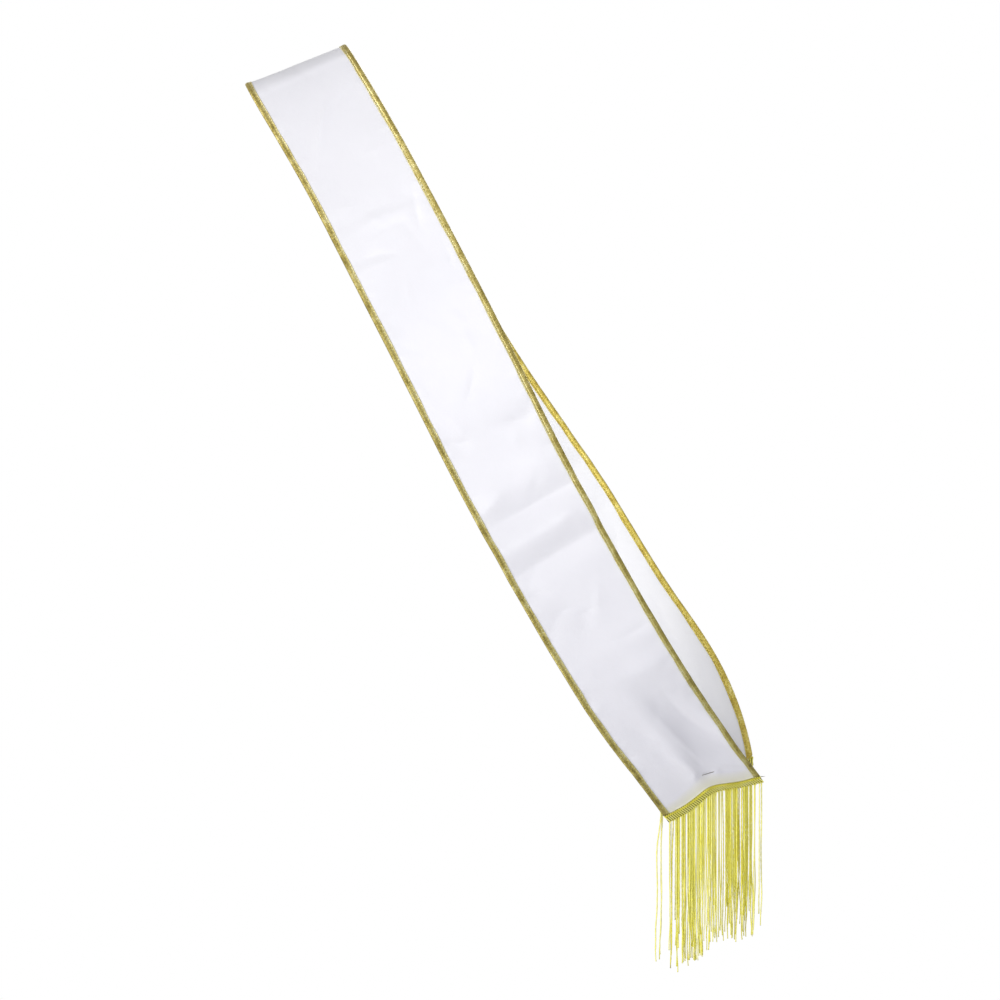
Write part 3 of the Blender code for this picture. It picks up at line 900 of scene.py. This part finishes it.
def beyond(cut, away, across, reach):
    """Places a reach beyond a cut end; past the cloth's edges the end goes straight on."""
    return cut(np.clip(across, -CLOTH_HALF, CLOTH_HALF)) + away * reach


def header(node, cut, away, seed):
    """The looped header along a cut end; away is +1 at the front end and -1 at the back."""
    draw = np.random.default_rng(seed)
    half = SASH_WIDTH / 2 - LOOP_INSET
    share = np.linspace(0, 1, LOOPS * LOOP_STEPS)
    angle = 2 * np.pi * LOOPS * share
    uneven = soft_noise(share * 100, UNEVEN_EVERY_PERCENT, seed)
    down = 0.5 - 0.5 * np.cos(angle)
    stands = np.sign(np.sin(angle)) * np.abs(np.sin(angle)) ** COIL_FLATNESS
    across = -half + 2 * half * share + LOOP_SLANT * (down - 0.5) * stands
    reach = SEAM + LOOP_INSET + (HEADER_HEIGHT - 2 * LOOP_INSET + LOOPS_UNEVEN * uneven) * down
    along = beyond(cut, away, across, reach)
    coil = place(along, across, MID_OUT + COIL_STANDS * stands)[None]
    reference = read_route(route_side, along)[None]
    even = np.ones(coil.shape[:2])
    coil_rings = sweep(coil, LOOP_HALF * even, LOOP_THICK * even, reference, 0 * even, sides=8)
    coil_tone_and_shade = np.repeat(TURN_SHADE_TONE + LEG_TONE * np.abs(stands), coil_rings.shape[2])

    share = np.linspace(0, 1, CORD_STEPS)
    across = -half + 2 * half * share
    cords = []
    for face in (1, -1):
        for ply in (0, np.pi):
            swirl = 2 * np.pi * share * 2 * half / CORD_TWIST_MM + ply
            along = beyond(cut, away, across, SEAM + CORD_DOWN + CORD_SWINGS * np.cos(swirl))
            cords.append(place(along, across, MID_OUT + face * (CORD_OUT + CORD_RISES * np.sin(swirl))))
    cords = np.array(cords)
    reference = np.broadcast_to(read_route(route_outward, along), cords.shape)
    even = np.ones(cords.shape[:2])
    cord_rings = sweep(cords, CORD_HALF * even, CORD_HALF * even, reference, 0 * even, sides=6)

    across = np.linspace(-half, half, TAPE_STEPS)
    edges = [
        place(beyond(cut, away, across, SEAM + reach), across, MID_OUT + out) for reach, out in TAPE_SECTION
    ]
    tape_rings = np.stack(edges, axis=1)[None]

    points, faces, tones = [], [], []
    for rings, tone in ((coil_rings, coil_tone_and_shade), (cord_rings, CORD_TONE), (tape_rings, TAPE_SHADE_TONE)):
        made, sides = tubes(rings)
        first = sum(len(p) for p in points)
        faces += [[first + i for i in face] for face in sides]
        points.append(made)
        tones.append(tone + draw.uniform(-TONE_VARIES, TONE_VARIES, len(made)))
    piece = make_piece(f"header_{node}", np.concatenate(points), faces, rayon)
    keep(piece, "tone", np.concatenate(tones))
    return piece


headers = [header("front", front_cut, 1, 41), header("back", back_cut, -1, 43)]

# %% [markdown]
# The yarns hang straight down from the header, in locks of neighbours that cling together. A row of the
# table is one lock: its place along the header, how many yarns it has and how wide it is, how far down its
# thick plied part goes, its tone, and how far its tip leans aside in mm. Below that part some yarns end, and
# the others go on as one thinner ply to the full length. A lock whose plied part is 0 is of thin plies only.
# That is the whole design of a fringe, and the rest is a loop.

# %% Fringe yarns
FRONT_LOCKS = (
    # place, yarns, wide, plied, tone, lean
    (0.040,  1,  0.0,  0.90, 0.12,  -1.5),
    (0.068,  1,  0.0,  0.00, 0.55,   1.0),
    (0.100,  3,  2.0,  0.78, 0.44,  -1.0),
    (0.150,  4,  2.6,  0.73, 0.40,   0.8),
    (0.192,  2,  1.6,  0.00, 0.68,   1.2),
    (0.237,  5,  3.4,  0.71, 0.48,   0.0),
    (0.280,  4,  2.4,  0.72, 0.42,   1.0),
    (0.318,  3,  2.6,  0.00, 0.66,   1.4),
    (0.378,  7,  4.8,  0.70, 0.38,  -0.6),
    (0.446,  2,  2.0,  0.00, 0.62,   0.6),
    (0.486,  4,  2.8,  0.68, 0.48,  -0.8),
    (0.536,  3,  3.2,  0.00, 0.62,   0.4),
    (0.584,  3,  3.2,  0.00, 0.66,  -0.4),
    (0.628,  1,  0.0,  0.80, 0.50,   0.8),
    (0.674,  6,  4.6,  0.74, 0.34,   0.6),
    (0.733,  6,  4.0,  0.73, 0.42,  -0.6),
    (0.822,  9,  6.0,  0.82, 0.37,  -0.8),
    (0.878,  2,  1.8,  0.00, 0.55,   0.4),
    (0.912,  3,  3.0,  0.00, 0.58,  -0.6),
    (0.975,  2,  2.0,  0.88, 0.60,  -1.2),
)
BACK_LOCKS = (
    # place, yarns, wide, plied, tone, lean
    (0.004,  1,  0.0,  0.92, 0.50,  -4.0),
    (0.016,  1,  0.0,  0.90, 0.55,  -0.9),
    (0.030,  1,  0.0,  0.00, 0.60,  -1.6),
    (0.110,  2,  2.0,  0.00, 0.60,   0.6),
    (0.190,  4,  3.0,  0.76, 0.46,  -0.4),
    (0.265,  3,  3.0,  0.00, 0.60,   0.8),
    (0.340,  5,  3.8,  0.74, 0.42,   0.4),
    (0.430,  4,  3.0,  0.72, 0.50,  -0.8),
    (0.500,  2,  2.4,  0.00, 0.62,   0.0),
    (0.580,  4,  3.4,  0.80, 0.46,   0.6),
    (0.660,  2,  2.0,  0.00, 0.60,  -0.4),
    (0.745,  6,  4.6,  0.78, 0.40,   0.4),
    (0.840,  5,  4.0,  0.80, 0.46,  -0.6),
    (0.915,  3,  3.0,  0.00, 0.58,   0.4),
    (0.980,  3,  2.2,  0.86, 0.52,   0.0),
)
YARN_ROWS = 90
YARN_WIDE = 0.66
YARN_THIN = 0.52
PLY_HALF = 0.45
KNOT_LONG = 1.6
KNOT_STANDS = 0.2
YARNS_INSET = 1.2
ROOTS_HIDDEN = 1.0
ROOTS_DEEP = 1.0
YARN_SIZE = (0.9, 1.06)
TAIL_LENGTH = (0.94, 1.01)
PLIED_VARIES = 0.03
PLY_ENDS = 0.02
TAILS_GO_ON = 0.66
SWUNG_BY = 0.3
DRIFT_FROM = 0.6
TIP_DRIFT = 1.6
SWAYS_ASIDE = (0.5, 60, 110)
RIPPLES = (0.25, 18, 34)
SWAYS_DEEP = (0.6, 60, 120)
STARTS_ANYWHERE = (0, 6.3)
LOCK_BESIDE = 0.02
TWIST_MM = (9, 14)
YARN_TONE_VARIES = 0.16
SINGLE_DARKER = 0.08


def smooth_step(x):
    """A soft step from 0 to 1, as x goes from 0 to 1."""
    x = np.clip(x, 0, 1)
    return x * x * (3 - 2 * x)


def sway(draw, down, size, shortest, longest):
    """A slow wave down a yarn; its wavelength and its start are drawn."""
    wavelength = draw.uniform(shortest, longest)
    return size * np.sin(2 * np.pi * down / wavelength + draw.uniform(*STARTS_ANYWHERE))


def yarns(node, cut, away, drop, locks, seed):
    """The hanging yarns of one fringe."""
    draw = np.random.default_rng(seed)
    half = SASH_WIDTH / 2 - YARNS_INSET
    share = np.linspace(0, 1, YARN_ROWS)

    def bottom(place_share):
        across = -half + 2 * half * np.asarray(place_share, float)
        return place(beyond(cut, away, across, SEAM + HEADER_HEIGHT - ROOTS_HIDDEN), across, MID_OUT)

    lines, wide, thin, turned, tones, reference = [], [], [], [], [], []
    for centre, count, breadth, plied, tone, lean in locks:
        ahead = bottom(centre + LOCK_BESIDE) - bottom(centre - LOCK_BESIDE)
        ahead[2] = 0
        ahead /= np.linalg.norm(ahead)
        depth = np.array([ahead[1], -ahead[0], 0])
        for member in range(count):
            offset = 0 if count == 1 else (member / (count - 1) - 0.5) * breadth
            root = bottom(centre + offset / (2 * half)) + depth * draw.uniform(-ROOTS_DEEP, ROOTS_DEEP)
            goes_on = plied == 0 or draw.random() < TAILS_GO_ON
            if goes_on:
                length = drop * draw.uniform(*TAIL_LENGTH)
            else:
                length = drop * (plied + draw.uniform(-PLIED_VARIES, PLIED_VARIES))
            down = share * length
            far = down / drop
            wave = sway(draw, down, *SWAYS_ASIDE) * far
            swing = smooth_step(far / SWUNG_BY) if count == 1 else far**2
            late = smooth_step((far - DRIFT_FROM) / (1 - DRIFT_FROM))
            drift = lean * swing + draw.uniform(-TIP_DRIFT, TIP_DRIFT) * late
            aside = wave + drift + sway(draw, down, *RIPPLES) * far**2
            deep = sway(draw, down, *SWAYS_DEEP) * far
            fall = np.stack([0 * down, 0 * down, -down], axis=-1)
            lines.append(root + fall + aside[:, None] * ahead + deep[:, None] * depth)
            single = smooth_step((far - plied - draw.uniform(-PLY_ENDS, PLY_ENDS)) / PLY_ENDS)
            knot = smooth_step((down - length + KNOT_LONG) / KNOT_LONG)
            slim = draw.uniform(*YARN_SIZE) * (1 + KNOT_STANDS * knot)
            wide.append(slim * (YARN_WIDE + (PLY_HALF - YARN_WIDE) * single))
            thin.append(slim * (YARN_THIN + (PLY_HALF - YARN_THIN) * single))
            twist_length = draw.uniform(*TWIST_MM)
            turned.append(2 * np.pi * down / twist_length + draw.uniform(*STARTS_ANYWHERE))
            own_tone = tone + draw.uniform(-YARN_TONE_VARIES, YARN_TONE_VARIES)
            tones.append(np.clip(own_tone - SINGLE_DARKER * single, 0, 1))
            reference.append(np.broadcast_to(ahead, fall.shape))
    rings = sweep(*(np.array(a) for a in (lines, wide, thin, reference, turned)), sides=7)
    piece = make_piece(f"yarns_{node}", *tubes(rings), rayon)
    keep(piece, "tone", np.repeat(np.array(tones).ravel(), rings.shape[2]))
    return piece


hanging = [
    yarns("front", front_cut, 1, 134.0, FRONT_LOCKS, 51),
    yarns("back", back_cut, -1, 131.0, BACK_LOCKS, 57),
]
for piece, node in zip(hanging, ("fringe_front", "fringe_back")):
    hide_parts(node)

# %% [markdown]
# Two dressmaker's pins, 0.6 mm thick, hold the ends at the hip. The first one is woven through the cloth,
# so only its middle shows between two small humps. The second one's point comes out at the corner.

# %% Pins
PIN_HALF = 0.32
PIN_POINT = 3.0
PIN_BACK_END = 0.02
PIN_TAPER = (0.6, 1, 1, 1, 0.15)
NEARLY_UP = (0.0, 0.3, 1.0)
WOVEN_PIN = (
    # along, across, out
    (757.4, -8.6, 0.6),
    (775.0, 21.5, 0.6),
)
CORNER_PIN = (
    # along, across, out
    (802.0, 37.0, -1.6),
    (816.5, 51.9, -1.2),
)


def pin(name, ends):
    """A straight pin between two places on the sash, sharpened at its last end."""
    first, last = place(*np.transpose(ends))
    length = np.linalg.norm(last - first)
    share = np.array([0, PIN_BACK_END, 0.5, 1 - PIN_POINT / length, 1])
    radius = PIN_HALF * np.array([PIN_TAPER])
    line = (first + (last - first) * share[:, None])[None]
    reference = np.broadcast_to(NEARLY_UP, line.shape)
    return make_piece(name, *tubes(sweep(line, radius, radius, reference, 0 * radius, sides=10)), steel)


pins = [pin("pin_woven", WOVEN_PIN), pin("pin_corner", CORNER_PIN)]
